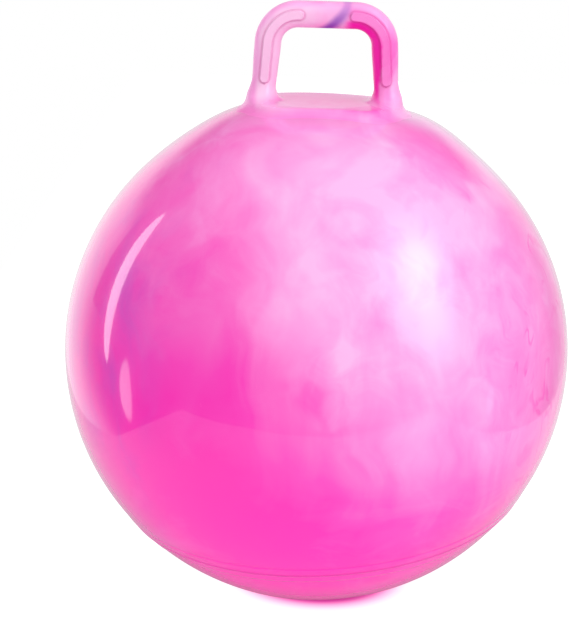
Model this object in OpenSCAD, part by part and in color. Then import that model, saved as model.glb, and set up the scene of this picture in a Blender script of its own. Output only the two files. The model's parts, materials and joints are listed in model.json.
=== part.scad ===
// Hopper ball: an inflated skin, the looped handle on its crown, and the air valve's seat and plug.
// Millimetres, +Z up. The origin is the centre of the patch that the ball rests on.
// The handle's window faces -Y and +Y, and the valve is on the +Y side of the crown.

/* [Ball] */
// Outside diameter of the inflated ball
ball_d = 450; // [360:5:650]
// Thickness of the inflated skin
skin_wall = 1.2; // [0.8:0.1:3]
// Diameter of the flat patch that the ball rests on
rest_flat_d = 64; // [40:1:90]
// Diameter of the flat on the crown, under the saddle
crown_flat_d = 76; // [60:1:80]

/* [Seam band] */
// Angle from the lowest point of the ball out to the seam, in degrees
seam_angle = 54; // [45:1:70]
// Tilt of the seam's plane that lifts its +X side, in degrees
seam_roll = 5; // [0:0.5:10]
// Tilt of the seam's plane that lifts its +Y side, in degrees
seam_pitch = 5; // [0:0.5:10]
// Width of the raised band, square to the seam's plane
band_w = 20; // [12:1:30]
// Height of the band above the ball
band_rise = 0.4; // [0.2:0.1:1]
// Width of the parting bead along the middle of the band
bead_w = 1.6; // [1:0.1:4]
// Height of the parting bead above the band
bead_rise = 0.5; // [0.2:0.1:1]

/* [Handle loop] */
// Distance between the middles of the two feet on the ball
foot_span = 100; // [92:1:130]
// Height of the loop above the saddle
handle_h = 87.7; // [75:0.1:130]
// Diameter of the round grip
grip_d = 22.5; // [18:0.5:28]
// Radius of the loop's upper bends, at the middle of the grip
bend_r = 26; // [18:0.5:34]
// Radius of the bend above each foot, at the middle of the grip
ankle_r = 30; // [20:1:40]
// Inward lean of each leg, in degrees
leg_lean = 4; // [0:0.5:8]
// Radius of the flare between each foot and the ball
foot_flare_r = 11; // [7:0.5:14]
// Height of the thin rim where a foot meets the ball
foot_rim = 0.3; // [0.2:0.1:1]

/* [Grip ribs] */
// Width of the raised rib on each leg and bend
rib_w = 7.5; // [5:0.5:10]
// Height of the rib above the front of the grip
rib_rise = 1.3; // [0.8:0.1:3]
// Width and height of the step along the rib's edges
rib_edge = 0.5; // [0.3:0.1:0.7]
// Distance from the ankle up to the rib's lower end
rib_foot_gap = 3; // [1:0.5:12]
// Distance between the two ribs' ends on the grip bar
rib_bar_gap = 40; // [24:1:46]

/* [Saddle] */
// Length of the saddle, along the handle
saddle_l = 118; // [112:1:130]
// Width of the saddle, across the handle
saddle_w = 84; // [82:1:96]
// Radius of the saddle's corners, seen from above
saddle_corner_r = 29; // [16:1:34]
// Rounding of the saddle's upper edge
saddle_edge_r = 5; // [2:0.5:7]
// Height of the saddle above the flat on the crown
saddle_rise = 1.3; // [0.8:0.1:3]

/* [Valve seat] */
// Angle from the top of the ball back to the valve, in degrees
valve_angle = 36; // [28:1:60]
// Diameter of the air bore that the plug closes
bore_d = 8; // [6:0.1:10]
// Wall of the seat's barrel around the bore
barrel_wall = 4.2; // [3.8:0.1:6]
// Depth of the barrel below the outside of the ball
barrel_depth = 18; // [12:0.5:30]
// Diameter of the collar on the outside of the ball
collar_d = 27; // [24:0.5:34]
// Height of the collar above the ball, at its middle
collar_rise = 1.7; // [1.4:0.1:3]
// Diameter of the flange inside the ball
flange_d = 36; // [30:0.5:46]
// Thickness of the flange inside the ball
flange_t = 1.5; // [1:0.1:3]

/* [Valve plug] */
// Diameter of the plug's head
head_d = 14; // [13:0.1:15.4]
// Thickness of the plug's head
head_t = 2.2; // [1.6:0.1:4]
// Bevel around the top of the head
head_bevel = 0.7; // [0.3:0.1:1]
// Depth of the recess that the head sits in
recess_depth = 1.2; // [0.6:0.1:1.3]
// Gap around the head in its recess
head_gap = 0.4; // [0.3:0.05:0.6]
// Length of the shank below the head
shank_l = 21; // [16:0.5:28]
// Number of sealing rings on the shank
ring_n = 3; // [2:1:4]
// Width of each sealing ring
ring_w = 2.6; // [1.5:0.1:3]
// Height of the rings above the shank
ring_rise = 0.6; // [0.3:0.1:1]
// Gap between the rings and the bore, on each side
ring_fit = 0.05; // [0.02:0.01:0.1]
// Length of the tapered tip
tip_l = 4; // [2:0.5:6]
// Diameter of the end of the tip
tip_d = 4; // [3:0.1:4.4]

/* [Hidden] */
// Facets of a preview's curves, and of the ball's
$fn = 96;
ball_facets = 240;
// Straight steps along each arc of a rib's outline
arc_steps = 16;
// How far a cut runs past what it cuts
cut_over = 5;
// How far a straight run reaches into the bend that follows it, and how much fuller that bend is
lap_l = 1;
lap_step = 0.1;

// Heights below this line are measured from the ball's middle
ball_r = ball_d / 2;
rest_r = rest_flat_d / 2;
crown_r = crown_flat_d / 2;
centre_z = sqrt(ball_r * ball_r - rest_r * rest_r);
crown_h = sqrt(ball_r * ball_r - crown_r * crown_r);
saddle_h = crown_h + saddle_rise;
seam_drop = ball_r * cos(seam_angle);

// Feet: the flare's arc touches the grip's side and ends a rim's height above the ball
grip_r = grip_d / 2;
foot_turn = asin(foot_span / 2 / ball_r);
flare_x = grip_r + foot_flare_r;
flare_h = sqrt(pow(ball_r + foot_flare_r, 2) - flare_x * flare_x) + foot_rim;
rim_r = flare_x * ball_r / (ball_r + foot_flare_r);
// Feet and saddle start this deep, and the ball is then cut out of them
base_h = crown_h - saddle_w / 2;
saddle_depth = saddle_h - base_h;

// The loop's middle line: foot, ankle bend, leaning leg, upper bend, grip bar
ankle_c = flare_h * [sin(foot_turn), cos(foot_turn)] + ankle_r * [-cos(foot_turn), sin(foot_turn)];
leg_foot = ankle_c + ankle_r * [cos(leg_lean), sin(leg_lean)];
leg_up = [-sin(leg_lean), cos(leg_lean)];
bar_h = saddle_h + handle_h - grip_r;
bend_h = bar_h - bend_r;
leg_l = (bend_h + bend_r * sin(leg_lean) - leg_foot[1]) / cos(leg_lean);
bend_x = leg_foot[0] + leg_l * leg_up[0] - bend_r * cos(leg_lean);
bend_c = [bend_x, bend_h];
rib_depth = grip_d + 2 * rib_rise;
rib_low = rib_foot_gap + rib_w / 2;
rib_end_x = rib_bar_gap / 2 + rib_w / 2;

// The plug's rings run in the bore, and its head sits on the floor of the recess
bore_r = bore_d / 2;
barrel_r = bore_r + barrel_wall;
recess_h = ball_r + collar_rise - recess_depth;
ring_r = bore_r - ring_fit;
shank_r = ring_r - ring_rise;
ring_step = (shank_l - tip_l) / ring_n;

// The ball as a solid, its flats included, with its surface moved in by inset
module ball_solid(inset) {
    intersection() {
        translate([0, 0, centre_z])
            sphere(r = ball_r - inset, $fn = ball_facets);
        translate([0, 0, inset])
            cylinder(r = ball_r + cut_over, h = centre_z + crown_h - 2 * inset);
    }
}

// A ring of the ball along the seam's plane, raised above the surface
module seam_ring(rise, width) {
    translate([0, 0, centre_z])
        intersection() {
            sphere(r = ball_r + rise, $fn = ball_facets);
            rotate([seam_pitch, -seam_roll, 0])
                translate([0, 0, -seam_drop])
                    cylinder(r = ball_r + cut_over, h = width, center = true);
        }
}

// Places children so that their +Z runs out of the ball's middle along the valve
module at_valve() {
    translate([0, 0, centre_z])
        rotate([-valve_angle, 0, 0])
            children();
}

module ball_skin() {
    color("hotpink")
        difference() {
            union() {
                ball_solid(0);
                seam_ring(band_rise, band_w);
                seam_ring(band_rise + bead_rise, bead_w);
            }
            ball_solid(skin_wall);
            at_valve()
                translate([0, 0, ball_r - barrel_depth])
                    cylinder(r = barrel_r, h = barrel_depth + cut_over);
        }
}

// Points along an arc of the handle's plane, each in the middle of its step, so that no corner of a rib
// lies just where a run of the grip meets a bend
function arc(middle, radius, from_angle, to_angle) =
    [for (i = [0 : arc_steps - 1])
        let (angle = from_angle + (to_angle - from_angle) * (i + 1 / 2) / arc_steps)
        middle + radius * [cos(angle), sin(angle)]];

// Outline of the J-shaped rib on the +X half of the loop, from its lower end round the bend to the bar
function rib_outline(half_w) = concat(
    arc(leg_foot + rib_low * leg_up, half_w, leg_lean + 180, leg_lean + 360),
    arc(bend_c, bend_r + half_w, leg_lean, 90),
    arc([rib_end_x, bar_h], half_w, 90, 270),
    arc(bend_c, bend_r - half_w, 90, leg_lean)
);

// A straight run of the round grip in the handle's plane, long enough to end inside the bends
module run(start, angle, length) {
    translate(start)
        rotate([0, 0, angle])
            rotate([-90, 0, 0])
                translate([0, 0, -lap_l])
                    cylinder(r = grip_r, h = length + 2 * lap_l);
}

// A bend of the grip about a point of the handle's plane, fuller than the runs that end inside it
module bend(middle, radius, from_angle, sweep) {
    translate(middle)
        rotate([0, 0, from_angle])
            rotate_extrude(angle = sweep)
                translate([radius, 0])
                    circle(r = grip_r + lap_step);
}

// The raised ribs of the +X half, on the front and the back of the grip
module ribs() {
    linear_extrude(rib_depth - 2 * rib_edge, center = true)
        polygon(rib_outline(rib_w / 2));
    linear_extrude(rib_depth, center = true)
        polygon(rib_outline(rib_w / 2 - rib_edge));
}

// The +X half of the loop above the foot, without the grip bar
module loop_half() {
    bend(ankle_c, ankle_r, -foot_turn, foot_turn + leg_lean);
    run(leg_foot, leg_lean, leg_l);
    bend(bend_c, bend_r, leg_lean, 90 - leg_lean);
    ribs();
}

// A foot, turned about the line from the ball's middle, with its flare just short of the ball's surface
module foot() {
    rotate([0, foot_turn, 0])
        rotate_extrude()
            difference() {
                translate([0, base_h])
                    square([rim_r, flare_h - base_h]);
                translate([flare_x, flare_h])
                    circle(r = foot_flare_r);
            }
    rotate([0, foot_turn, 0])
        translate([0, 0, base_h])
            cylinder(r = grip_r, h = flare_h - base_h + lap_l);
}

// The saddle's edge in section, from the middle of a corner outwards
module edge_section() {
    square([saddle_corner_r - saddle_edge_r, saddle_depth]);
    square([saddle_corner_r, saddle_depth - saddle_edge_r]);
    translate([saddle_corner_r - saddle_edge_r, saddle_depth - saddle_edge_r])
        circle(r = saddle_edge_r);
}

// The block that the saddle is cut from: corners, ends and the middle, all with the same round edge
module saddle_block() {
    corner_x = saddle_l / 2 - saddle_corner_r;
    corner_y = saddle_w / 2 - saddle_corner_r;
    for (x = [0, 1], y = [0, 1])
        mirror([x, 0, 0])
            mirror([0, y, 0])
                translate([corner_x, corner_y, 0])
                    rotate_extrude(angle = 90)
                        edge_section();
    for (x = [0, 1])
        mirror([x, 0, 0])
            translate([corner_x, corner_y, 0])
                rotate([90, 0, 0])
                    linear_extrude(2 * corner_y)
                        edge_section();
    for (y = [0, 1])
        mirror([0, y, 0])
            translate([-corner_x, corner_y, 0])
                rotate([90, 0, 90])
                    linear_extrude(2 * corner_x)
                        edge_section();
    translate([-corner_x, -corner_y, 0])
        cube([2 * corner_x, 2 * corner_y, saddle_depth]);
}

module handle() {
    color("violet") {
        difference() {
            translate([0, 0, centre_z]) {
                foot();
                mirror([1, 0, 0])
                    foot();
                translate([0, 0, base_h])
                    saddle_block();
            }
            ball_solid(0);
        }
        translate([0, 0, centre_z])
            rotate([90, 0, 0]) {
                loop_half();
                mirror([1, 0, 0])
                    loop_half();
                run([bend_x, bar_h], 90, 2 * bend_x);
            }
    }
}

module valve_seat() {
    color("pink")
        at_valve()
            difference() {
                union() {
                    difference() {
                        translate([0, 0, ball_r - collar_rise])
                            cylinder(d = collar_d, h = collar_rise);
                        sphere(r = ball_r, $fn = ball_facets);
                    }
                    translate([0, 0, ball_r])
                        cylinder(d1 = collar_d, d2 = collar_d - 2 * collar_rise, h = collar_rise);
                    translate([0, 0, ball_r - barrel_depth])
                        cylinder(r = barrel_r, h = barrel_depth);
                    intersection() {
                        difference() {
                            sphere(r = ball_r - skin_wall, $fn = ball_facets);
                            sphere(r = ball_r - skin_wall - flange_t, $fn = ball_facets);
                        }
                        translate([0, 0, ball_r - barrel_depth])
                            cylinder(d = flange_d, h = barrel_depth);
                    }
                }
                translate([0, 0, ball_r - barrel_depth - cut_over])
                    cylinder(r = bore_r, h = barrel_depth + 2 * cut_over);
                translate([0, 0, recess_h])
                    cylinder(d = head_d + 2 * head_gap, h = recess_depth + cut_over);
            }
}

module valve_plug() {
    color("white")
        at_valve()
            translate([0, 0, recess_h]) {
                cylinder(d = head_d, h = head_t - head_bevel);
                translate([0, 0, head_t - head_bevel])
                    cylinder(d1 = head_d, d2 = head_d - 2 * head_bevel, h = head_bevel);
                translate([0, 0, tip_l - shank_l])
                    cylinder(r = shank_r, h = shank_l - tip_l);
                for (i = [0 : ring_n - 1])
                    translate([0, 0, tip_l - shank_l + i * ring_step])
                        cylinder(r = ring_r, h = ring_w);
                translate([0, 0, -shank_l])
                    cylinder(d1 = tip_d, r2 = ring_r, h = tip_l);
            }
}

ball_skin();
handle();
valve_seat();
valve_plug();
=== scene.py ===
# %% [markdown]
# # A marbled hopper ball
# A hopper ball is an inflated vinyl ball with a looped handle on its crown: a child sits on it, holds the
# handle and bounces. The vinyl is coloured by stirring pale, pink and violet batches together before it
# is moulded, so no two balls have the same clouds. This lesson starts from the bare construction model,
# which has every piece at its real size and place, and gives it a finer skin, a handle with soft blended
# feet, a moulded valve, the marbled finish, and a white studio.

# %% Load the construction model
import json
import math

import bmesh
import bpy
import numpy as np
from mathutils import Matrix, Vector


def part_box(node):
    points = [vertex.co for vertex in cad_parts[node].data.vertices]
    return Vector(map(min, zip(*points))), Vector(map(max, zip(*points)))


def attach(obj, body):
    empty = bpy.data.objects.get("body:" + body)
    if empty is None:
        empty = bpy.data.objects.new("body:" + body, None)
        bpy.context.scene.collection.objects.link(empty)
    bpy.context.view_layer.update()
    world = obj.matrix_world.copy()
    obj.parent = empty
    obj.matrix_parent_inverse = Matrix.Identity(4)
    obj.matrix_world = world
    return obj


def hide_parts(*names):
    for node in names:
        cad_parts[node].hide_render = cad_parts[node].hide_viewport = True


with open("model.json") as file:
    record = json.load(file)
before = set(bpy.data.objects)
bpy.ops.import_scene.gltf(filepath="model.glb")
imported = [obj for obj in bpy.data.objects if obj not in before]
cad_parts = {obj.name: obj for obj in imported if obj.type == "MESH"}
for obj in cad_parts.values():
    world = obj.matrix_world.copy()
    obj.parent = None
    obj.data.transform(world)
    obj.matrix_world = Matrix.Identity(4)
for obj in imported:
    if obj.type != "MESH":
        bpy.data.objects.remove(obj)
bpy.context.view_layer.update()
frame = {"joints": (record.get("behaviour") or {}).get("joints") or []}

# %% [markdown]
# ## Sizes that every piece shares
# Blender counts in metres, but a toy maker thinks in millimetres, so each size is written as a number
# times mm. The ball's middle is the point that everything else is measured from: the skin, the handle's
# feet and the valve all follow the same sphere. The ball sags onto a flat patch under its own weight, so
# its middle is a little lower than its radius.

# %% The ball's sizes
mm = 0.001
ball_r = 225 * mm
rest_r = 32 * mm
crown_r = 38 * mm
middle_h = math.sqrt(ball_r**2 - rest_r**2)
crown_h = math.sqrt(ball_r**2 - crown_r**2)
middle = np.array((0, 0, middle_h))
valve_axis = np.array(frame["joints"][0]["axis"])

low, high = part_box("ball_skin")
print(f"skin {(high.x - low.x) / mm:.1f} mm across, middle {middle_h / mm:.1f} mm above the floor")


def fade(value, start, stop):
    """0 at start and 1 at stop, with a smooth slope between them."""
    share = np.clip((value - start) / (stop - start), 0, 1)
    return share * share * (3 - 2 * share)


def new_piece(name, points, faces):
    """A smooth-shaded mesh object from arrays of points and faces."""
    mesh = bpy.data.meshes.new(name)
    mesh.from_pydata(points.tolist(), [], [list(face) for face in faces])
    mesh.shade_smooth()
    piece = bpy.data.objects.new(name, mesh)
    bpy.context.scene.collection.objects.link(piece)
    return piece


# %% [markdown]
# ## The skin
# The skin is turned in a mould of two halves, which leaves a flat band low on the ball with a thin
# parting bead along it. A sphere with a displace modifier could show it, but only if the whole sphere
# were as fine as the bead. Instead the sphere is built from rings around the seam's own tilted axis,
# packed closely at the bead, less so on the band, and widely elsewhere. The two poles then fall in the
# rest patch and under the handle, where nobody sees them.

# %% The skin's shape, as a radius in each direction
seam_angle = math.radians(54)
seam_roll = math.radians(5)
seam_pitch = math.radians(5)
band_w = 20 * mm
band_edge = 1.5 * mm
band_rise = 0.4 * mm
bead_w = 1.6 * mm
bead_rise = 0.5 * mm
seam_drop = ball_r * math.cos(seam_angle)
seam_tilt = Matrix.Rotation(-seam_roll, 3, "Y") @ Matrix.Rotation(seam_pitch, 3, "X")
seam_axis = np.array(seam_tilt @ Vector((0, 0, 1)))

# The stiff handle pulls the skin up into a low swell beside each foot: its angle to the right of the crown,
# its width and its rise
swells = (
    (math.radians(-19), math.radians(12), 3.6 * mm),
    (math.radians(24), math.radians(10), 4.6 * mm),
)
swell_depth = 0.55
swell_heights = (0.3, 0.6)
# Soft vinyl is never a perfect sphere: each wave is a direction with its count, and a start
sway_waves = (((7, 2, -3), 0.4), ((-4, 5, 6), 1.9), ((3, -8, 5), 3.1), ((9, 4, 7), 4.4))
sway_rise = 0.05 * mm


def skin_radius(way):
    """Distance from the ball's middle to the skin, along unit directions."""
    offset = way @ seam_axis * ball_r + seam_drop
    band = band_rise * (1 - fade(np.abs(offset), band_w / 2 - band_edge, band_w / 2))
    bead = bead_rise * np.exp(-((2 * offset / bead_w) ** 2))
    side = np.arcsin(np.clip(way[:, 0], -1, 1))
    swell = sum(rise * np.exp(-(((side - turn) / width) ** 2)) for turn, width, rise in swells)
    swell *= np.exp(-((way[:, 1] / swell_depth) ** 2)) * fade(way[:, 2], *swell_heights)
    sway = sum(np.sin(way @ np.array(count) + start) for count, start in sway_waves)
    return ball_r + band + bead + swell + sway_rise * sway


def soft_floor(value, limit, softness):
    """The larger of value and limit, rounded where the two meet."""
    above = value - limit
    return limit + (above + np.sqrt(above**2 + softness**2)) / 2


print(f"seam {seam_drop / mm:.1f} mm below the ball's middle, {len(swells)} swells beside the feet")

# %% Build the rings and close them at the poles
ring_step = math.radians(1)
band_step = math.radians(0.15)
bead_step = math.radians(0.05)
band_reach = math.radians(4.2)
bead_reach = math.radians(0.6)
around = 360
flat_softness = 0.6 * mm


def ring_angles():
    """Angles from the seam's lower pole: coarse rings, finer ones on the band, finest at the bead."""
    coarse = np.arange(ring_step / 2, math.pi, ring_step)
    band = seam_angle + np.arange(-band_reach, band_reach, band_step)
    bead = seam_angle + np.arange(-bead_reach, bead_reach, bead_step)
    coarse = coarse[np.abs(coarse - seam_angle) > band_reach]
    band = band[np.abs(band - seam_angle) > bead_reach]
    return np.sort(np.concatenate((coarse, band, bead)))


def skin_mesh():
    """Points and faces of the closed skin."""
    angles = np.concatenate(((0,), ring_angles(), (math.pi,)))
    turns = np.arange(around) * 2 * math.pi / around
    angle, turn = np.meshgrid(angles, turns, indexing="ij")
    way = np.stack((np.sin(angle) * np.cos(turn), np.sin(angle) * np.sin(turn), -np.cos(angle)), -1)
    way = way.reshape(-1, 3) @ np.array(seam_tilt).T
    # Each pole is one point, so only one of its ring is kept
    way = way[around - 1 : 1 - around]
    points = middle + way * skin_radius(way)[:, None]
    points[:, 2] = soft_floor(points[:, 2], 0, flat_softness)
    points[:, 2] = -soft_floor(-points[:, 2], -(middle_h + crown_h), flat_softness)
    last = len(points) - 1
    here = np.arange(around)
    on = (here + 1) % around
    faces = [(0, 1 + b, 1 + a) for a, b in zip(here, on)]
    for ring in range(len(angles) - 3):
        start = 1 + ring * around
        faces += list(zip(start + here, start + on, start + around + on, start + around + here))
    start = last - around
    faces += [(last, start + a, start + b) for a, b in zip(here, on)]
    return points, faces


skin = new_piece("marbled_skin", *skin_mesh())
print(f"skin: {len(skin.data.polygons)} faces")

# %% [markdown]
# The valve's barrel passes through the skin, so the skin needs a hole there. A hole would leave an open
# edge, so a boolean cuts a blind well instead: the mesh stays closed, the barrel fills the well, and when
# the plug is out one looks down the bore into the dark of the well.

# %% Cut the valve's well
bore_r = 4 * mm
barrel_r = 8.2 * mm
barrel_depth = 18 * mm
well_gap = 0.2 * mm
well_extra = 4 * mm
well_sides = 64


def along_valve(points):
    """Turns points about +Z, measured from the skin's surface, onto the valve's axis."""
    turn = np.array(Vector((0, 0, 1)).rotation_difference(Vector(valve_axis)).to_matrix())
    return middle + (points + np.array((0, 0, ball_r))) @ turn.T


def cut_well(piece):
    """Takes a round well out of the piece, along the valve's axis."""
    turns = np.arange(well_sides) * 2 * math.pi / well_sides
    circle = np.stack((np.cos(turns), np.sin(turns), 0 * turns), -1) * (barrel_r + well_gap)
    bottom = circle - (0, 0, barrel_depth + well_extra)
    top = circle + (0, 0, well_extra)
    here = np.arange(well_sides)
    on = (here + 1) % well_sides
    faces = [here[::-1], here + well_sides, *zip(here, on, on + well_sides, here + well_sides)]
    cutter = new_piece("well_cutter", along_valve(np.concatenate((bottom, top))), faces)
    cut = piece.modifiers.new("well", "BOOLEAN")
    cut.operation = "DIFFERENCE"
    cut.object = cutter
    graph = bpy.context.evaluated_depsgraph_get()
    piece.data = bpy.data.meshes.new_from_object(piece.evaluated_get(graph))
    piece.modifiers.clear()
    bpy.data.objects.remove(cutter)


cut_well(skin)
print(f"skin with its well: {len(skin.data.polygons)} faces")

# %% [markdown]
# ## The handle
# The handle is a thick loop that grows out of the ball on flared feet, with a flat saddle between them
# and a raised rib on each leg that turns the corner onto the grip bar. Bevels and booleans would struggle
# with such soft joins. A distance field makes them easy: every form is a function that says how far a
# point is from its surface, negative inside, and a smooth minimum melts two forms together. The field is
# sampled on a grid, meshed where it changes sign, and the mesh's points are then slid onto the exact
# surface.

# %% Lines and rounded forms as distances
foot_span = 100 * mm
handle_h = 87.7 * mm
saddle_rise = 1.3 * mm
grip_r = 11.25 * mm
bend_r = 26 * mm
ankle_r = 30 * mm
leg_lean = math.radians(4)
foot_rise = 10.3 * mm
saddle_h = crown_h + saddle_rise
foot_turn = math.asin(foot_span / 2 / ball_r)


def smooth_min(a, b, reach):
    """The smaller of two distances, melted together where they differ by less than reach."""
    overlap = np.maximum(reach - np.abs(a - b), 0) / reach
    return np.minimum(a, b) - overlap**2 * reach / 4


def smooth_max(a, b, reach):
    """The larger of two distances, melted together in the same way."""
    return -smooth_min(-a, -b, reach)


def to_segment(x, h, start, stop):
    """Distance from points of the handle's plane to a straight run."""
    run = np.subtract(stop, start)
    share = np.clip(((x - start[0]) * run[0] + (h - start[1]) * run[1]) / (run @ run), 0, 1)
    return np.hypot(x - start[0] - share * run[0], h - start[1] - share * run[1])


def to_arc(x, h, bend_middle, radius, start, stop):
    """Distance from points of the handle's plane to an arc."""
    angle = np.clip(np.arctan2(h - bend_middle[1], x - bend_middle[0]), start, stop)
    return np.hypot(
        x - bend_middle[0] - radius * np.cos(angle), h - bend_middle[1] - radius * np.sin(angle)
    )


# %% The loop's middle line: foot, ankle, leaning leg, bend and grip bar
foot_way = np.array((math.sin(foot_turn), math.cos(foot_turn)))
foot_side = np.array((-foot_way[1], foot_way[0]))
foot_top = (ball_r + foot_rise) * foot_way
ankle_middle = foot_top + ankle_r * foot_side
leg_foot = ankle_middle + ankle_r * np.array((math.cos(leg_lean), math.sin(leg_lean)))
leg_up = np.array((-math.sin(leg_lean), math.cos(leg_lean)))
bar_h = saddle_h + handle_h - grip_r
bend_h = bar_h - bend_r
leg_l = (bend_h + bend_r * math.sin(leg_lean) - leg_foot[1]) / math.cos(leg_lean)
leg_top = leg_foot + leg_l * leg_up
bend_middle = np.array((leg_top[0] - bend_r * math.cos(leg_lean), bend_h))
quarter = math.pi / 2


def loop_line(x, h):
    """Distance to the loop's middle line, in the handle's plane, for the half with x above zero."""
    runs = (
        to_segment(x, h, (ball_r - foot_rise) * foot_way, foot_top),
        to_arc(x, h, ankle_middle, ankle_r, -foot_turn, leg_lean),
        to_segment(x, h, leg_foot, leg_top),
        to_arc(x, h, bend_middle, bend_r, leg_lean, quarter),
        to_segment(x, h, (bend_middle[0], bar_h), (0, bar_h)),
    )
    return np.minimum.reduce(runs)


print(f"legs {leg_l / mm:.1f} mm long, grip bar {bar_h / mm:.1f} mm above the ball's middle")

# %% The ribs' middle line, from the leg round the bend to the bar
rib_w = 7.5 * mm
rib_rise = 1.7 * mm
rib_edge = 0.6 * mm
rib_foot_gap = 3 * mm
rib_bar_gap = 40 * mm
rib_start = leg_foot + (rib_foot_gap + rib_w / 2) * leg_up
rib_stop = np.array(((rib_bar_gap + rib_w) / 2, bar_h))


def rib_line(x, h):
    """Distance to the J-shaped line that the raised rib follows."""
    runs = (
        to_segment(x, h, rib_start, leg_top),
        to_arc(x, h, bend_middle, bend_r, leg_lean, quarter),
        to_segment(x, h, (bend_middle[0], bar_h), rib_stop),
    )
    return np.minimum.reduce(runs)


print(f"ribs {rib_w / mm:.1f} mm wide, {rib_bar_gap / mm:.0f} mm apart on the bar")

# %% [markdown]
# The grip isn't quite round: the moulding is a little squarer than a tube, thinner at the feet and fuller
# at the bends. A power a bit above 2 in the tube's distance gives that section. The foot flares widely on
# its outer side and tightly inside the window, so the reach of the smooth minimum changes with x.

# %% The whole handle as one field
grip_power = 2.3
leg_slim = 0.5 * mm
bend_full = 0.4 * mm
grip_depth = 11.25 * mm
rib_melt = 0.3 * mm
groove_w = 0.8 * mm
groove_depth = 0.5 * mm
saddle_l = 118 * mm
saddle_w = 84 * mm
saddle_corner_r = 29 * mm
saddle_lift = 0.4 * mm
saddle_melt = 4 * mm
pad_melt = 14 * mm
flare_inside = 8 * mm
flare_outside = 22 * mm
flare_turn = (38 * mm, 52 * mm)
# The handle stops a hair under the skin and reaches a little way in, so the two meet in a fine crease
crease = 0.12 * mm
root_depth = 3 * mm
root_skirt = 17 * mm


def plan_distance(x, y):
    """Distance to the saddle's rounded outline, seen from above."""
    past_x = np.abs(x) - (saddle_l / 2 - saddle_corner_r)
    past_y = np.abs(y) - (saddle_w / 2 - saddle_corner_r)
    outside = np.hypot(np.maximum(past_x, 0), np.maximum(past_y, 0))
    return outside + np.minimum(np.maximum(past_x, past_y), 0) - saddle_corner_r


def loop_field(x, y, h):
    """The round grip with its raised ribs."""
    grip = grip_r - leg_slim + (leg_slim + bend_full) * fade(h, leg_foot[1], bend_h)
    section = (loop_line(x, h) / grip) ** grip_power + (np.abs(y) / grip_depth) ** grip_power
    tube = (section ** (1 / grip_power) - 1) * grip_r
    from_rib = rib_line(x, h) - rib_w / 2
    tube += groove_depth * np.exp(-(((from_rib - groove_w) / groove_w) ** 2))
    rib_x = np.maximum(from_rib + rib_edge, 0)
    rib_y = np.maximum(np.abs(y) - (grip_depth + rib_rise - rib_edge), 0)
    return smooth_min(tube, np.hypot(rib_x, rib_y) - rib_edge, rib_melt)


def handle_field(points):
    """Distance to the handle: feet and saddle are melted into the ball, which is then taken away."""
    x = np.abs(points[:, 0])
    y = points[:, 1]
    h = points[:, 2] - middle_h
    reach = np.sqrt(x**2 + y**2 + h**2)
    way = (points - middle) / reach[:, None]
    ball = smooth_max(reach - skin_radius(way), h - crown_h, flat_softness)
    plan = plan_distance(x, y)
    saddle = smooth_max(plan, h - crown_h - saddle_lift, saddle_melt)
    flare = flare_inside + (flare_outside - flare_inside) * fade(x, *flare_turn)
    whole = smooth_min(loop_field(x, y, h), smooth_min(ball, saddle, pad_melt), flare)
    return np.maximum.reduce((whole + crease, ball_r - root_depth - reach, plan - root_skirt))


bar_middle = np.array([(0, 0, middle_h + bar_h)])
print(f"the bar's middle line is {-handle_field(bar_middle)[0] / mm:.1f} mm inside the handle")

# %% [markdown]
# ## From a field to a mesh
# A surface net puts one point in each grid cell that the surface crosses, at the mean of the crossings on
# the cell's edges, and one quad around each crossed edge. The result is an even mesh of quads, with no
# slivers. A few Newton steps along the field's slope then bring each point to the surface itself, and the
# slope gives exact normals for smooth shading.

# %% Surface net
def surface_net(field, low, step):
    """Points and quads where a field, sampled on a grid, changes sign."""
    inside = field < 0
    cells = tuple(np.array(field.shape) - 1)
    total = np.zeros(cells + (3,))
    count = np.zeros(cells)
    crossed = []
    for axis in range(3):
        start = np.argwhere(np.diff(inside, axis=axis))
        stop = start + np.eye(3, dtype=int)[axis]
        near, far = field[tuple(start.T)], field[tuple(stop.T)]
        point = start.astype(float)
        point[:, axis] += near / (near - far)
        side, other = np.eye(3, dtype=int)[[(axis + 1) % 3, (axis + 2) % 3]]
        corners = [start, start - side, start - side - other, start - other]
        for cell in corners:
            np.add.at(total, tuple(cell.T), point)
            np.add.at(count, tuple(cell.T), 1)
        crossed.append((corners, near < 0))
    number = np.cumsum(count.ravel() > 0).reshape(cells) - 1
    quads = []
    for corners, leaving in crossed:
        quad = np.stack([number[tuple(cell.T)] for cell in corners], -1)
        quads.append(np.where(leaving[:, None], quad, quad[:, ::-1]))
    used = count > 0
    return low + step * total[used] / count[used][:, None], np.concatenate(quads)


# %% Mesh the handle
net_step = 0.9 * mm
net_low = np.array((-80 * mm, -63 * mm, middle_h + 190 * mm))
net_high = np.array((80 * mm, 63 * mm, middle_h + 316 * mm))
slope_step = 0.02 * mm
least_slope = 0.25
settle_rounds = 4


def slope(points):
    """The handle field's slope, by central differences."""
    shifts = np.eye(3) * slope_step
    sides = [handle_field(points + s) - handle_field(points - s) for s in shifts]
    return np.stack(sides, -1) / (2 * slope_step)


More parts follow.
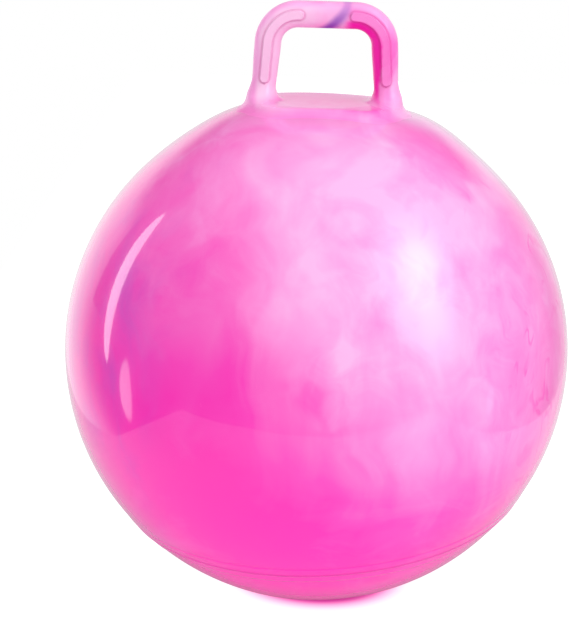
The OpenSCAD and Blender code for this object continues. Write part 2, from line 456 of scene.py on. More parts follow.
def handle_mesh():
    """Points, quads and normals of the handle."""
    ticks = [np.arange(a, b, net_step) for a, b in zip(net_low, net_high)]
    slabs = []
    for tick in ticks[0]:
        y, z = np.meshgrid(ticks[1], ticks[2], indexing="ij")
        slab = np.stack((np.full(y.size, tick), y.ravel(), z.ravel()), -1)
        slabs.append(handle_field(slab).reshape(y.shape))
    points, quads = surface_net(np.stack(slabs), net_low, net_step)
    for _ in range(settle_rounds):
        way = slope(points)
        step = handle_field(points) / np.maximum((way**2).sum(-1), least_slope)
        points -= np.clip(step, -net_step / 2, net_step / 2)[:, None] * way
    normals = slope(points)
    return points, quads, normals / np.linalg.norm(normals, axis=-1)[:, None]


handle_points, handle_quads, handle_normals = handle_mesh()
handle = new_piece("marbled_handle", handle_points, handle_quads)
handle.data.normals_split_custom_set_from_vertices(handle_normals.tolist())
print(f"handle: {len(handle_quads)} quads, top {handle_points[:, 2].max() / mm:.1f} mm above the floor")

# %% Mark the grooves round the ribs on the mesh, where the finish paints shade
groove_shade_depths = (0.6 * grip_depth, 0.8 * grip_depth)
from_rib = rib_line(np.abs(handle_points[:, 0]), handle_points[:, 2] - middle_h) - rib_w / 2 - groove_w
outline = np.exp(-((from_rib / groove_w) ** 2)) * fade(np.abs(handle_points[:, 1]), *groove_shade_depths)
handle.data.attributes.new("rib_outline", "FLOAT", "POINT").data.foreach_set("value", outline)
print(f"rib outlines: {np.count_nonzero(outline > 0.5)} points")

# %% [markdown]
# ## The valve
# A hopper ball is blown up through a small valve on the back of the crown: a vinyl seat moulded into the
# skin, and a ribbed plug that is pushed into its bore. Both are round, so each is a lathe form: a profile
# of radii and heights, with its corners rounded, spun about the valve's axis. Heights count from the
# skin.

# %% A lathe with rounded corners
lathe_sides = 96
corner_steps = 5
weld = 0.001 * mm


def round_profile(corners):
    """Points of a closed profile whose corners are (radius, height, rounding)."""
    points = []
    for i, (radius, height, rounding) in enumerate(corners):
        here = Vector((radius, height))
        back = (Vector(corners[i - 1][:2]) - here).normalized()
        on = (Vector(corners[(i + 1) % len(corners)][:2]) - here).normalized()
        reach = rounding / math.tan(back.angle(on) / 2)
        for step in range(corner_steps + 1 if rounding else 1):
            t = step / corner_steps
            points.append(here + back * reach * (1 - t) ** 2 + on * reach * t**2)
    return points


def lathe(name, corners):
    """A closed profile spun about the valve's axis."""
    profile = np.array([tuple(p) for p in round_profile(corners)])
    turns = np.arange(lathe_sides) * 2 * math.pi / lathe_sides
    circle = np.stack((np.cos(turns), np.sin(turns)), -1)
    flat = profile[:, None, :1] * circle[None]
    height = np.broadcast_to(profile[:, None, 1:], (len(profile), lathe_sides, 1))
    points = along_valve(np.concatenate((flat, height), -1).reshape(-1, 3))
    faces = []
    here = np.arange(lathe_sides)
    on = (here + 1) % lathe_sides
    for ring in range(len(profile)):
        a = ring * lathe_sides
        b = (ring + 1) % len(profile) * lathe_sides
        faces += list(zip(a + here, a + on, b + on, b + here))
    piece = new_piece(name, points, faces)
    shape = bmesh.new()
    shape.from_mesh(piece.data)
    bmesh.ops.remove_doubles(shape, verts=shape.verts, dist=weld)
    bmesh.ops.dissolve_degenerate(shape, edges=shape.edges, dist=weld)
    bmesh.ops.recalc_face_normals(shape, faces=shape.faces)
    shape.to_mesh(piece.data)
    shape.free()
    piece.data.shade_smooth()
    return piece


# %% The seat: a low collar outside, a flange inside and the barrel between them
collar_r = 13.5 * mm
collar_rise = 1.7 * mm
flange_r = 18 * mm
flange_t = 1.5 * mm
skin_wall = 1.2 * mm
head_r = 7 * mm
head_gap = 0.4 * mm
recess_depth = 1.2 * mm
fine_round = 0.3 * mm
recess_r = head_r + head_gap
recess_h = collar_rise - recess_depth


def skin_fall(radius):
    """How far the skin has fallen away at a distance from the valve's axis."""
    return ball_r - math.sqrt(ball_r**2 - radius**2)


seat = lathe(
    "valve_seat_moulding",
    [
        (bore_r, -barrel_depth, fine_round),
        (bore_r, recess_h, fine_round),
        (recess_r, recess_h, fine_round),
        (recess_r, collar_rise, 2 * fine_round),
        (collar_r - collar_rise, collar_rise, 3 * fine_round),
        (collar_r, -skin_fall(collar_r), 0),
        (collar_r, -skin_fall(collar_r) - skin_wall / 2, 0),
        (barrel_r, -skin_fall(barrel_r) - skin_wall / 2, 0),
        (barrel_r, -skin_fall(barrel_r) - skin_wall, 0),
        (flange_r, -skin_fall(flange_r) - skin_wall, 0),
        (flange_r, -skin_fall(flange_r) - skin_wall - flange_t, fine_round),
        (barrel_r, -skin_fall(barrel_r) - skin_wall - flange_t, fine_round),
        (barrel_r, -barrel_depth, fine_round),
    ],
)
print(f"valve seat: collar {2 * collar_r / mm:.0f} mm across, {len(seat.data.polygons)} faces")

# %% The plug: a dished head, and a shank with sealing rings
head_t = 2.2 * mm
head_dish = 0.35 * mm
dish_r = 4.6 * mm
shank_l = 21 * mm
ring_n = 3
ring_w = 2.6 * mm
ring_r = bore_r - 0.05 * mm
shank_r = ring_r - 0.6 * mm
tip_l = 4 * mm
tip_r = 2 * mm
ring_gap = (shank_l - tip_l) / ring_n
plug_end = recess_h - shank_l
plug_corners = [
    (0, recess_h + head_t - head_dish, 0),
    (dish_r - head_dish, recess_h + head_t - head_dish, fine_round),
    (dish_r, recess_h + head_t, fine_round),
    (head_r, recess_h + head_t, 2.5 * fine_round),
    (head_r, recess_h, fine_round),
    (shank_r, recess_h, fine_round),
]
for ring in reversed(range(ring_n)):
    ring_low = plug_end + tip_l + ring * ring_gap
    plug_corners += [
        (shank_r, ring_low + ring_w, fine_round),
        (ring_r, ring_low + ring_w, 2 * fine_round),
        (ring_r, ring_low, 2 * fine_round),
    ]
    if ring:
        plug_corners.append((shank_r, ring_low, fine_round))
plug_corners += [(tip_r, plug_end, 2 * fine_round), (0, plug_end, 0)]
plug = lathe("valve_plug_moulding", plug_corners)
print(f"valve plug: {ring_n} sealing rings, {len(plug.data.polygons)} faces")

# %% [markdown]
# ## Writing shaders as sums
# A shader is a graph of nodes, and long sums drawn as nodes are hard to read. Two small classes let a
# material be written in Python instead. A Wire stands for a value on its way through the graph, and
# adding, multiplying or subtracting wires adds the Math nodes. A Recipe makes any other node in one call.

# %% Wires and recipes
class Wire:
    """A value in a shader: arithmetic on it adds Math nodes."""

    def __init__(self, recipe, socket):
        self.recipe = recipe
        self.socket = socket

    def math(self, operation, first, second):
        """A Math node on two values."""
        return self.recipe.node("Math", {"operation": operation}, {0: first, 1: second})

    def __add__(self, other):
        return self.math("ADD", self, other)

    def __radd__(self, other):
        return self.math("ADD", other, self)

    def __sub__(self, other):
        return self.math("SUBTRACT", self, other)

    def __rsub__(self, other):
        return self.math("SUBTRACT", other, self)

    def __mul__(self, other):
        return self.math("MULTIPLY", self, other)

    def __rmul__(self, other):
        return self.math("MULTIPLY", other, self)

    def __abs__(self):
        return self.math("ABSOLUTE", self, 0)


class Recipe:
    """A node tree that is filled by calls."""

    def __init__(self, tree):
        self.tree = tree
        tree.nodes.clear()

    def node(self, kind, settings=None, sockets=None, output=0):
        """Adds a node, sets its settings, fills its sockets and returns one of its outputs."""
        made = self.tree.nodes.new("ShaderNode" + kind)
        for name, value in (settings or {}).items():
            if name == "stops":
                while len(made.color_ramp.elements) < len(value):
                    made.color_ramp.elements.new(1)
                for element, (place, colour) in zip(made.color_ramp.elements, value):
                    element.position = place
                    element.color = (*colour, 1)
            else:
                setattr(made, name, value)
        for key, value in (sockets or {}).items():
            if isinstance(value, Wire):
                self.tree.links.new(value.socket, made.inputs[key])
            else:
                made.inputs[key].default_value = value
        return Wire(self, made.outputs[output]) if made.outputs else None

    def mix(self, share, first, second):
        """A colour between two colours."""
        first, second = (c if isinstance(c, Wire) else (*c, 1) for c in (first, second))
        settings = {"data_type": "RGBA"}
        return self.node("Mix", settings, {0: share, 6: first, 7: second}, output=2)

    def fade(self, value, start, stop):
        """0 at start and 1 at stop, with a smooth slope."""
        sockets = {"Value": value, "From Min": start, "From Max": stop}
        return self.node("MapRange", {"interpolation_type": "SMOOTHSTEP"}, sockets)

    def noise(self, vector, scale, detail=2, roughness=0.5, distortion=0, output=0):
        """Cloudy noise, as a value or, from output 1, as a vector."""
        sockets = {"Vector": vector, "Scale": scale, "Detail": detail}
        sockets |= {"Roughness": roughness, "Distortion": distortion}
        return self.node("TexNoise", None, sockets, output)

    def vector(self, operation, first, second, output=0):
        """Arithmetic on two vectors, where output 1 is a plain number."""
        return self.node("VectorMath", {"operation": operation}, {0: first, 1: second}, output)

    def facing(self, place, way):
        """How far places lie along a direction."""
        return self.vector("DOT_PRODUCT", place, way, output=1)

    def part(self, place, axis):
        """The X, Y or Z of places."""
        return self.node("SeparateXYZ", None, {"Vector": place}, output=axis)


def new_material(name):
    """A material and the recipe that fills it."""
    material = bpy.data.materials.new(name)
    material.use_nodes = True
    return material, Recipe(material.node_tree)


# %% [markdown]
# ## Marbled vinyl
# The clouds of a marbled moulding are one batch of colour folded into another. Plain noise looks like
# smoke, so the noise is read at places that a second, slower noise has pushed about: the folds then curl
# and trail off in wisps. The trails are drawn out downwards, and near the base they are smeared sideways,
# so one noise is stretched along the height and another around the ball. Their sum is one number, the
# tone, and a ramp turns it into pinks, from hot to pale. The pale batch lies in front, up and to the
# right, and again behind, so the tone starts as a slow slope towards both. All of it is read in the
# ball's own space, so the marbling runs on into the handle's feet.

# %% The ball's colours
hot_pink = (0.95, 0.01, 0.44)
candy_pink = (0.95, 0.045, 0.49)
rose_pink = (0.955, 0.13, 0.56)
pale_pink = (0.96, 0.27, 0.68)
milk_pink = (0.965, 0.44, 0.79)
cream_pink = (0.97, 0.66, 0.86)
deep_magenta = (0.62, 0.02, 0.30)
violet = (0.24, 0.05, 0.50)
vinyl_ior = 1.5
vinyl_sheen = 0.2
coat_roughness = 0.03
peel_scale = 46
peel_strength = 0.1


def ball_space(recipe):
    """Places on the object, from the ball's middle, in ball radii."""
    place = recipe.node("TexCoord", output=3)
    from_middle = recipe.vector("SUBTRACT", place, tuple(middle))
    return recipe.vector("MULTIPLY", from_middle, (1 / ball_r,) * 3)


def fold_in(recipe, place, scale, push):
    """Places pushed about by a slow noise, so that what is read there curls and trails."""
    drift = recipe.noise(place, scale, detail=2, output=1)
    return recipe.node("VectorMath", {"operation": "MULTIPLY_ADD"}, {0: drift, 1: (push,) * 3, 2: place})


def vinyl(recipe, material, colour, roughness, normal, gloss):
    """Soft vinyl: a soft sheen from the vinyl itself under a clear, smoothly moulded surface."""
    sockets = {"Base Color": colour, "Roughness": roughness, "Normal": normal}
    sockets |= {"IOR": vinyl_ior, "Specular IOR Level": vinyl_sheen}
    sockets |= {"Coat Weight": gloss, "Coat Roughness": coat_roughness}
    surface = recipe.node("BsdfPrincipled", None, sockets)
    recipe.node("OutputMaterial", None, {"Surface": surface})
    return material


def unit_way(x, y, z):
    """A direction of length 1, as a shader's socket takes it."""
    return tuple(Vector((x, y, z)).normalized())


def fine_skin(recipe, place, height):
    """The slight orange peel of moulded vinyl, as a bump normal."""
    peel = recipe.noise(place, peel_scale, detail=3, roughness=0.6)
    return recipe.node("Bump", None, {"Strength": peel_strength, "Distance": height, "Height": peel})


print("pinks:", hot_pink, "to", cream_pink)

# %% The skin's tone, from hot to pale
pink_stops = ((0, hot_pink), (0.25, candy_pink), (0.5, rose_pink), (0.75, pale_pink), (1, milk_pink))
pale_front = unit_way(0.33, -0.62, 0.71)
pale_behind = unit_way(-0.45, 0.80, -0.25)
front_gain = 1.12
front_drop = 0.14
behind_drop = 0.1
batch_melt = 0.2
drawn_stretch = (1.3, 1, 0.25)
smeared_stretch = (0.5, 0.5, 2.2)
# How much each noise moves the tone
cloud_share = 0.5
trail_share = 0.8
curl_share = 0.15
stirred_share = 0.35
stirred_reach = (0.4, 0.62)
smear_share = 0.7
smear_heights = (-0.1, -0.5)
# Three patches, each with its direction, its reach from rim to core, and what it adds to the tone
hot_fold = (unit_way(0.45, -0.23, 0.86), (0.96, 0.995), -0.22)
hot_front = (unit_way(-0.26, -0.95, -0.14), (0.84, 0.97), -0.2)
# The pale shoulder is partly pale marbling and partly painted light, on the upper right rim as the camera
# sees it, beside the handle's right foot
pale_batch_and_shoulder_light = (unit_way(0.50, 0.27, 0.82), (0.86, 0.97), 0.4)
patch_ragged = 0.1
# Thin hot threads show on the right, where a curl of colour carries them
thread_way = (1, 0, 0.2)
thread_reach = (0.55, 0.9)
thread_curls = (0.47, 0.58)
thread_w = 0.035
thread_share = 0.22


def skin_tone(recipe, place):
    """The tone of the skin, and the noises that its violet streaks follow."""
    folded = fold_in(recipe, place, 1.1, 0.8)
    drawn = recipe.vector("MULTIPLY", fold_in(recipe, place, 2.2, 0.4), drawn_stretch)
    smeared = recipe.vector("MULTIPLY", fold_in(recipe, place, 3.0, 0.3), smeared_stretch)
    curled = fold_in(recipe, place, 4.0, 0.25)
    cloud = recipe.noise(folded, 1.3, detail=3, roughness=0.45)
    trail = recipe.noise(drawn, 3.2, detail=4, roughness=0.5, distortion=0.3)
    curl = recipe.noise(curled, 5.5, detail=5, roughness=0.55, distortion=0.8)
    smear = recipe.noise(smeared, 3.4, detail=4, roughness=0.55, distortion=0.5)
    thread = recipe.noise(drawn, 4.6, detail=3, roughness=0.5, distortion=0.4)
    stirred = recipe.fade(recipe.noise(place, 1.7, detail=1), *stirred_reach)
    front = recipe.facing(place, pale_front) * front_gain - front_drop
    behind = recipe.facing(place, pale_behind) - behind_drop
    batch = recipe.node("Math", {"operation": "MAXIMUM"}, {0: front, 1: behind})
    tone = recipe.node("Math", {"operation": "SMOOTH_MAX"}, {0: batch, 1: 0.0, 2: batch_melt})
    tone = tone + (cloud - 0.5) * cloud_share + (trail - 0.5) * trail_share
    tone = tone + (curl - 0.5) * (curl_share + stirred_share * stirred)
    low = recipe.fade(recipe.part(place, "Z"), *smear_heights)
    tone = tone + (smear - 0.5) * low * smear_share
    for (way, reach, rise), noise in ((hot_fold, curl), (hot_front, cloud), (pale_batch_and_shoulder_light, cloud)):
        near = recipe.facing(place, way) + (noise - 0.5) * patch_ragged
        tone = tone + recipe.fade(near, *reach) * rise
    carried = recipe.fade(recipe.facing(place, thread_way), *thread_reach)
    carried = carried * recipe.fade(curl, *thread_curls)
    tone = tone - recipe.fade(abs(thread - 0.5), thread_w, 0.0) * carried * thread_share
    return tone, folded, trail


print("skin tone:", len(pink_stops), "pinks")

# %% The skin's finish, with violet on the left and a darker line along the seam
violet_side = (-1, 0, 0.1)
violet_side_reach = (0.35, 0.8)
violet_patch = unit_way(-0.80, -0.57, 0.10)
violet_patch_reach = (0.9, 0.985)
violet_blots = (0.45, 0.7)
violet_trails = (0.35, 0.65)
violet_share = 0.25
band_line = band_w / 2 / ball_r
bead_darkening = (0.011, 0.003)
band_edge_darkening = (0.007, 0.001)
band_edge_darkening_share = 0.4
seam_darkening_share = 0.55
peel_height = 0.02 * mm
skin_gloss = 1.0
skin_roughness = 0.18
scuff_reach = (0.5, 0.8)
scuff_share = 0.12


def skin_colour(recipe, place):
    """The marbling of the skin, which runs on into the handle's feet."""
    tone, folded, trail = skin_tone(recipe, place)
    colour = recipe.node("ValToRGB", {"stops": pink_stops}, {"Fac": tone})
    blots = recipe.fade(recipe.noise(folded, 2.4, detail=4, roughness=0.6), *violet_blots)
    violets = recipe.fade(recipe.facing(place, violet_side), *violet_side_reach) * blots
    streaks = recipe.fade(recipe.facing(place, violet_patch), *violet_patch_reach)
    streaks = streaks * recipe.fade(trail, *violet_trails)
    colour = recipe.mix((violets + streaks) * violet_share, colour, violet)
    # A darker line along the parting bead and at the band's edges
    from_seam = abs(recipe.facing(place, tuple(seam_axis)) + seam_drop / ball_r)
    on_bead = recipe.fade(from_seam, *bead_darkening)
    on_band = recipe.fade(abs(from_seam - band_line), *band_edge_darkening) * band_edge_darkening_share
    return recipe.mix((on_bead + on_band) * seam_darkening_share, colour, deep_magenta)


def skin_finish():
    """Marbling under a full gloss, dulled a little by scuffs."""
    material, recipe = new_material("marbled_vinyl")
    place = ball_space(recipe)
    scuff = recipe.noise(place, 9, detail=6, roughness=0.7)
    roughness = skin_roughness + recipe.fade(scuff, *scuff_reach) * scuff_share
    peel = fine_skin(recipe, place, peel_height)
    return vinyl(recipe, material, skin_colour(recipe, place), roughness, peel, skin_gloss)


# How dark the line along the seam is
print("skin finish: dust", seam_darkening_share, "along the seam")

# %% [markdown]
# ## The handle's vinyl
# The handle is filled from the same batches, but the pale one ran into its left leg and the hot one into
# the right, where it lies along the inner side of the loop, and a violet streak marks the place on the
# bar where they met. The distance from the window's corner tells the inner side of the loop from the
# outer one. The grip is handled more than the ball, so it is less glossy and rubbed, while its feet keep
# the skin's own finish.

# %% The handle's finish
bend_x, bend_z = bend_middle / ball_r
bar_low = (bar_h - grip_r) / ball_r
bar_thick = 2 * grip_r / ball_r
grip_line = bend_r / ball_r
handle_tone = 1.08
handle_cloud = 0.9
outer_drop = 0.15
right_drop = 0.4
right_inner_drop = 0.75
right_outer_rise = 0.35
handle_ragged = 0.06
inner_side = (-0.005, -0.025)
outer_side = (0.02, 0.045)
right_side = (0.05, 0.11)
left_side = (0.04, -0.12)
cream_share = 0.6
streak_sweep = 0.085
streak_shift = 0.01
streak_w = (0.062, 0.036)
streak_core = 0.004
streak_rise = (-0.2, 0.05)
streak_fade = 0.65
# How strong the shade painted in the grooves round the ribs is
groove_shade_share = 0.35
# From the skin up to the grip, the finish turns from the skin's to the handle's own
above_skin = (1.004, 1.06)
foot_gloss = 0.52
grip_dull = 0.2
foot_roughness = 0.2
grip_roughness = 0.12
rub_reach = (0.45, 0.7)
rub_share = 0.1


def handle_colour(recipe, place):
    """Pale vinyl on the left of the loop and hot on the right, with a violet streak between them."""
    across = recipe.part(place, "X")
    height = recipe.part(place, "Z")
    folded = fold_in(recipe, place, 3.2, 0.3)
    cloud = recipe.noise(folded, 4.5, detail=4, roughness=0.52, distortion=0.3)
    ragged = (cloud - 0.5) * handle_ragged
    # How far a place lies from the window's corner: small on the loop's inner side
    past_x = recipe.node("Math", {"operation": "MAXIMUM"}, {0: abs(across) - bend_x, 1: 0})
    past_z = recipe.node("Math", {"operation": "MAXIMUM"}, {0: height - bend_z, 1: 0})
    squares = past_x * past_x + past_z * past_z
    from_corner = recipe.node("Math", {"operation": "POWER"}, {0: squares, 1: 0.5})
    outward = from_corner - grip_line + ragged
    inside = recipe.fade(outward, *inner_side)
    outside = recipe.fade(outward, *outer_side)
    rightward = recipe.fade(across + ragged, *right_side)
    leftward = recipe.fade(across, *left_side)
    tone = handle_tone + (cloud - 0.5) * handle_cloud - outside * outer_drop
    tone = tone - rightward * (right_drop + inside * right_inner_drop - outside * right_outer_rise)
    colour = recipe.node("ValToRGB", {"stops": pink_stops}, {"Fac": tone})
    colour = recipe.mix(leftward * (1 - outside) * cream_share, colour, cream_pink)
    # The streak starts along the bar's underside and sweeps up across it
    up_bar = (height - bar_low) * (1 / bar_thick)
    from_streak = across - ((2 - up_bar) * up_bar * streak_sweep - streak_shift) + ragged
    streak = recipe.fade(abs(from_streak), streak_w[0] - streak_w[1] * up_bar, streak_core)
    streak = streak * recipe.fade(up_bar, *streak_rise)
    return recipe.mix(streak * (1 - streak_fade * up_bar), colour, violet)


def handle_finish():
    """The skin's finish on the feet and saddle, and the handle's own, rubbed by hands, above them."""
    material, recipe = new_material("marbled_handle_vinyl")
    place = ball_space(recipe)
    above = recipe.fade(recipe.vector("LENGTH", place, place, output=1), *above_skin)
    colour = recipe.mix(above, skin_colour(recipe, place), handle_colour(recipe, place))
    # Shade painted in the groove round each rib, as deep magenta
    outline = recipe.node("Attribute", {"attribute_name": "rib_outline"}, output="Fac")
    colour = recipe.mix(outline * groove_shade_share, colour, deep_magenta)
    rub = recipe.noise(place, 30, detail=4, roughness=0.6)
    roughness = foot_roughness + above * (grip_roughness + recipe.fade(rub, *rub_reach) * rub_share)
    peel = fine_skin(recipe, place, peel_height)
    return vinyl(recipe, material, colour, roughness, peel, foot_gloss - above * grip_dull)


print(f"handle finish: streak {2 * streak_w[0] * ball_r / mm:.0f} mm wide at the bar's underside")

# %% The valve's finish, and every piece's material
seat_pinks = (rose_pink, pale_pink)
plug_whites = ((0.80, 0.78, 0.79), (0.86, 0.85, 0.86))
small_peel_height = 0.05 * mm
small_gloss = 0.5
small_roughness = 0.3
small_clouds = (0.35, 0.7)
small_rub_reach = (0.45, 0.75)
small_rub_share = 0.2


def plain_finish(name, first, second):
    """Unmarbled vinyl, with the faint cloudiness and handling marks of a small moulding."""
    material, recipe = new_material(name)
    place = ball_space(recipe)
    cloud = recipe.noise(place, 22, detail=4, roughness=0.6)
    rub = recipe.noise(place, 90, detail=5, roughness=0.7)
    colour = recipe.mix(recipe.fade(cloud, *small_clouds), first, second)
    roughness = small_roughness + recipe.fade(rub, *small_rub_reach) * small_rub_share
    peel = fine_skin(recipe, place, small_peel_height)
    return vinyl(recipe, material, colour, roughness, peel, small_gloss)


skin.data.materials.clear()
skin.data.materials.append(skin_finish())
handle.data.materials.append(handle_finish())
seat.data.materials.append(plain_finish("seat_vinyl", *seat_pinks))
plug.data.materials.append(plain_finish("plug_vinyl", *plug_whites))
print("finishes:", [m.name for m in bpy.data.materials])

# %% [markdown]
# ## Riding on the frame
# Each piece rides on the body of the construction model that carries it and stands for that body's plain
# solid. The plug slides out of the ball along the valve, so it rides on its own body.

# %% Tie the pieces to the bodies
for piece, body, node, slot in (
    (skin, "ball", "ball_skin", "ball_vinyl"),
    (handle, "ball", "handle", "handle_vinyl"),
    (seat, "ball", "valve_seat", "seat_vinyl"),
    (plug, "plug", "valve_plug", "plug_vinyl"),
):
    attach(piece, body)
    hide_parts(node)
    print(piece.name, "rides on", body)

# %% [markdown]
# ## The camera
# The picture was taken with a long lens from a little above. Knowing where the ball's middle falls in the
# frame and how large it is there gives the lens, and the camera is then turned until the middle falls on
# that pixel. A slight roll makes the handle lean as it does in the picture.

# %% Camera
frame_size = (569, 620)
ball_pixel = (315.8, 347.9)
ball_pixel_r = 251.35
view_distance = 1.7
view_lift = math.radians(17)
view_roll = math.radians(2)
sensor = 36

lens_pixels = ball_pixel_r / math.tan(math.asin(ball_r / view_distance))
back = Vector((0, -math.cos(view_lift), math.sin(view_lift)))
camera = bpy.data.objects.new("camera", bpy.data.cameras.new("camera"))
bpy.context.scene.collection.objects.link(camera)
camera.data.sensor_width = sensor
camera.data.lens = lens_pixels * sensor / max(frame_size)
seen = Vector((ball_pixel[0] - frame_size[0] / 2, frame_size[1] / 2 - ball_pixel[1], -lens_pixels))
aim = back.to_track_quat("Z", "Y").to_matrix() @ Matrix.Rotation(view_roll, 3, "Z")
aim = aim @ seen.rotation_difference(Vector((0, 0, -1))).to_matrix()
camera.matrix_world = Matrix.Translation(Vector(middle) + back * view_distance) @ aim.to_4x4()
bpy.context.scene.camera = camera
print(f"lens {camera.data.lens:.1f} mm, camera at {[round(c, 3) for c in camera.location]}")

# %% [markdown]
# ## The table
# Glossy vinyl shows its surroundings, so the studio is built for what the ball should mirror. A white
# table comes first: its front edge and corner draw a faint line across the ball's lower half. A white
# floor that is lit by lamps alone would need so much light that the ball would lose its colour. So the
# table glows by itself, as much as each kind of ray needs: white for the camera, with a narrow pink shade
# painted where the ball almost touches it, dimmer for the ball's mirror image of it, with the ball's shadow
# painted in near the ball, and a plain bounce for the light that it throws up at the ball.

# %% Table
table_corners = (
    (-0.77, -0.59, 0),
    (-0.33, -0.757, 0),
    (0.15, -0.765, 0),
    (0.91, -0.86, 0),
    (0.60, -0.22, 0),
    (0.60, 3, 0),
    (-0.47, 3, 0),
    (-0.47, -0.06, 0),
)
table_paint = (0.55, 0.55, 0.55)
camera_paint = (0.27, 0.27, 0.27)
black = (0, 0, 0)
plain_light = (1, 1, 1)
pink_light = (0.95, 0.0, 0.45)
bounce = 0.75
camera_glow = 0.99
# Painted shade under the ball: where it lies, how far its painted pink bounce and its dark reach, and how
# dark
contact_middle = (9 * mm, -5 * mm, 0)
contact_stretch = (0.85, 1, 0)
painted_pink_bounce_reach = (75 * mm, 46 * mm)
dark_reach = (60 * mm, 46 * mm)
contact_dark = 0.65
# What the ball mirrors of the table, with the ball's shadow painted in: dimmer near the ball
mirror_glow = 0.25
mirror_dim = 0.5
mirror_dark = 0.25
mirror_reach = (80 * mm, 450 * mm)
table = new_piece("studio_table", np.array(table_corners), [range(len(table_corners))])
table_material, recipe = new_material("studio_white")
camera_ray = recipe.node("LightPath", output="Is Camera Ray")
mirror_ray = recipe.node("LightPath", output="Is Glossy Ray")
glass_ray = recipe.node("LightPath", output="Is Transmission Ray")
seen_ray = camera_ray + mirror_ray + glass_ray
place = recipe.node("NewGeometry", output="Position")
from_contact = recipe.vector("SUBTRACT", place, contact_middle)
from_contact = recipe.vector("MULTIPLY", from_contact, contact_stretch)
from_contact = recipe.vector("LENGTH", from_contact, from_contact, output=1)
painted_pink_bounce = recipe.fade(from_contact, *painted_pink_bounce_reach)
dark = recipe.fade(from_contact, *dark_reach)
away = recipe.fade(recipe.vector("LENGTH", place, place, output=1), *mirror_reach)
strength = (1 - seen_ray) * bounce
strength = strength + (mirror_ray + glass_ray) * mirror_glow * (1 - mirror_dim + mirror_dim * away)
strength = strength + camera_ray * camera_glow * (1 - contact_dark * dark)
colour = recipe.mix(mirror_ray * (1 - away) * mirror_dark, table_paint, black)
paint = recipe.node("BsdfDiffuse", None, {"Color": recipe.mix(camera_ray, colour, camera_paint)})
light = recipe.mix((camera_ray + mirror_ray) * painted_pink_bounce, plain_light, pink_light)
glow = recipe.node("Emission", None, {"Color": light, "Strength": strength})
recipe.node("OutputMaterial", None, {"Surface": recipe.node("AddShader", None, {0: paint, 1: glow})})
table_material.cycles.emission_sampling = "NONE"
table.data.materials.append(table_material)

print("table:", len(table_corners), "corners")

# %% [markdown]
# ## The surroundings
# The world stands for the rest of the studio. It is a dim room, with a bright backdrop low behind the
# ball, brightest on the left, that pales the ball's rims, and a soft ceiling. A fill that mirror rays
# don't see lightens the ball without a haze on its gloss, and to the camera the world is plain white.

# %% Surroundings
white = (1, 1, 1, 1)
room_level = 0.35
fill_level = 0.34
ceiling_level = 0.5
ceiling_way = unit_way(0.1, -0.45, 0.9)
ceiling_reach = (0.4, 0.9)
backdrop_level = 0.8
backdrop_left = (-0.97, -0.68)
backdrop_right = (0.75, 0.45)
backdrop_back = (0.15, 0.45)
backdrop_top = (0.42, 0.2)
backdrop_bright = (-0.05, -0.5)
backdrop_rise = 0.45
world = bpy.data.worlds.new("studio")
world.use_nodes = True
bpy.context.scene.world = world
recipe = Recipe(world.node_tree)
way = recipe.node("TexCoord", output="Generated")
way_x = recipe.part(way, "X")
behind = recipe.fade(way_x, *backdrop_left) * recipe.fade(way_x, *backdrop_right)
behind = behind * recipe.fade(recipe.part(way, "Y"), *backdrop_back)
behind = behind * recipe.fade(recipe.part(way, "Z"), *backdrop_top)
behind = behind * (1 - backdrop_rise + backdrop_rise * recipe.fade(way_x, *backdrop_bright))
above = recipe.fade(recipe.facing(way, ceiling_way), *ceiling_reach)
mirror_ray = recipe.node("LightPath", output="Is Glossy Ray")
level = room_level + backdrop_level * behind + ceiling_level * above + fill_level * (1 - mirror_ray)
camera_ray = recipe.node("LightPath", output="Is Camera Ray")
level = level + camera_ray * (1 - level)
surround = recipe.node("Background", None, {"Color": white, "Strength": level})
recipe.node("OutputWorld", None, {"Surface": surround})
print("surroundings: room", room_level, "backdrop", room_level + backdrop_level)

# %% [markdown]
# ## The lamps
# Each lamp is there for a light that the ball shows: the broad key at the upper right with a brighter
# heart and a low spill, a tall strip at the left, and a small window on each side. A lamp is placed by
# the direction in which the ball sees it: to the right, up and towards the camera. Those that only draw a
# reflection are kept off the ball's own colour.

# %% Lamps
right_way = Vector((1, 0, 0))
up_way = Vector((0, math.sin(view_lift), math.cos(view_lift)))


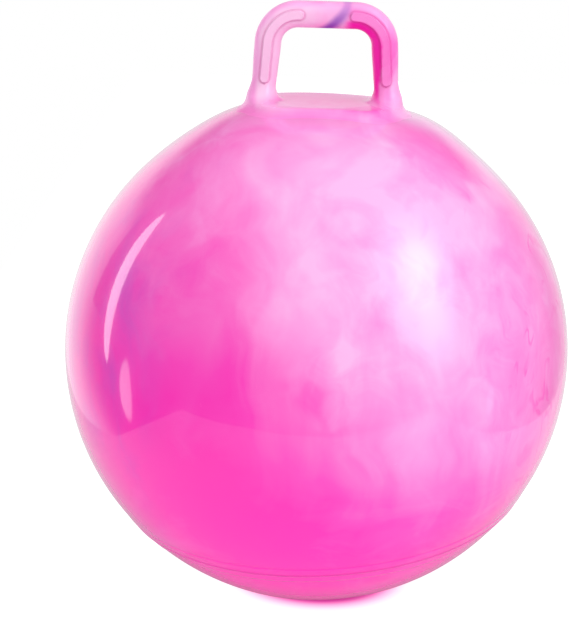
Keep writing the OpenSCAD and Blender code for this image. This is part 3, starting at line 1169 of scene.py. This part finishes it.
def soft_box(name, way, distance, size, level, edge, roll, gloss_only):
    """An area light that the ball sees along way (right, up, near), level times white in its middle.

    Its brightness fades towards its oval rim, from edge of the way out, as in a cloth softbox."""
    lamp = bpy.data.lights.new(name, "AREA")
    lamp.shape = "RECTANGLE"
    lamp.size, lamp.size_y = size
    lamp.energy = level * math.pi * lamp.size * lamp.size_y
    lamp.use_nodes = True
    recipe = Recipe(lamp.node_tree)
    place = recipe.node("NewGeometry", output="Parametric")
    across = recipe.part(place, "X") - 0.5
    along = recipe.part(place, "Y") - 0.5
    rim = recipe.fade(across * across + along * along, 0.25, 0.25 * edge**2)
    recipe.node("OutputLight", None, {"Surface": recipe.node("Emission", None, {"Strength": rim})})
    box = bpy.data.objects.new(name, lamp)
    bpy.context.scene.collection.objects.link(box)
    box.visible_camera = False
    box.visible_diffuse = not gloss_only
    right, up, near = way
    way = (right_way * right + up_way * up + back * near).normalized()
    box.location = Vector(middle) + way * distance
    turned = way.to_track_quat("Z", "Y").to_matrix() @ Matrix.Rotation(math.radians(roll), 3, "Z")
    box.rotation_euler = turned.to_euler()


# Name, way, distance, width and height, level, edge, roll in degrees, and whether it draws only a reflection
lamps = (
    ("key", (0.62, 0.46, 0.62), 1.6, (1.2, 2.0), 2.4, 0.0, -23, False),
    ("key_glow", (0.625, 0.478, 0.618), 1.6, (0.66, 1.0), 3.2, 0.0, -23, True),
    ("key_low", (0.769, 0.106, 0.627), 1.6, (0.6, 0.9), 1.4, 0.0, -10, True),
    ("strip", (-0.946, 0.284, -0.158), 1.585, (0.20, 1.35), 3.6, 0.9, 13, False),
    ("left_window", (-0.957, -0.247, 0.151), 0.664, (0.09, 0.25), 2.2, 0.7, 0, True),
    ("right_window", (0.936, -0.245, 0.251), 0.772, (0.07, 0.18), 1.0, 0.3, 0, True),
)
for lamp in lamps:
    soft_box(*lamp)
print("lamps:", [lamp[0] for lamp in lamps])

# %% [markdown]
# ## A flag beside the strip lamp
# Seen from the right, the strip lamp is behind the ball and its mirror image on the far rim is so bright
# that it looks like a bite out of the ball. Photographers put a card, called a flag, between a lamp and
# the part that it shouldn't reach. This one is as bright as the room, so that the ball doesn't show it
# either.

# %% Flag
flag_x = -0.8
flag_outline = (
    (0.176, 0.27),
    (0.34, 0.27),
    (0.38, 0.97),
    (0.29, 0.97),
    (0.245, 0.745),
    (0.215, 0.625),
    (0.176, 0.485),
)
flag_points = np.array([(flag_x, y, z) for y, z in flag_outline])
flag = new_piece("studio_flag", flag_points, [range(len(flag_outline))])
flag.visible_camera = False
flag.visible_diffuse = False
flag_material, recipe = new_material("studio_card")
glow = recipe.node("Emission", None, {"Color": white, "Strength": room_level})
recipe.node("OutputMaterial", None, {"Surface": glow})
flag_material.cycles.emission_sampling = "NONE"
flag.data.materials.append(flag_material)
print("flag:", len(flag_outline), "corners")

# %% View settings
bpy.context.scene.view_settings.view_transform = "Standard"
print("view transform:", bpy.context.scene.view_settings.view_transform)
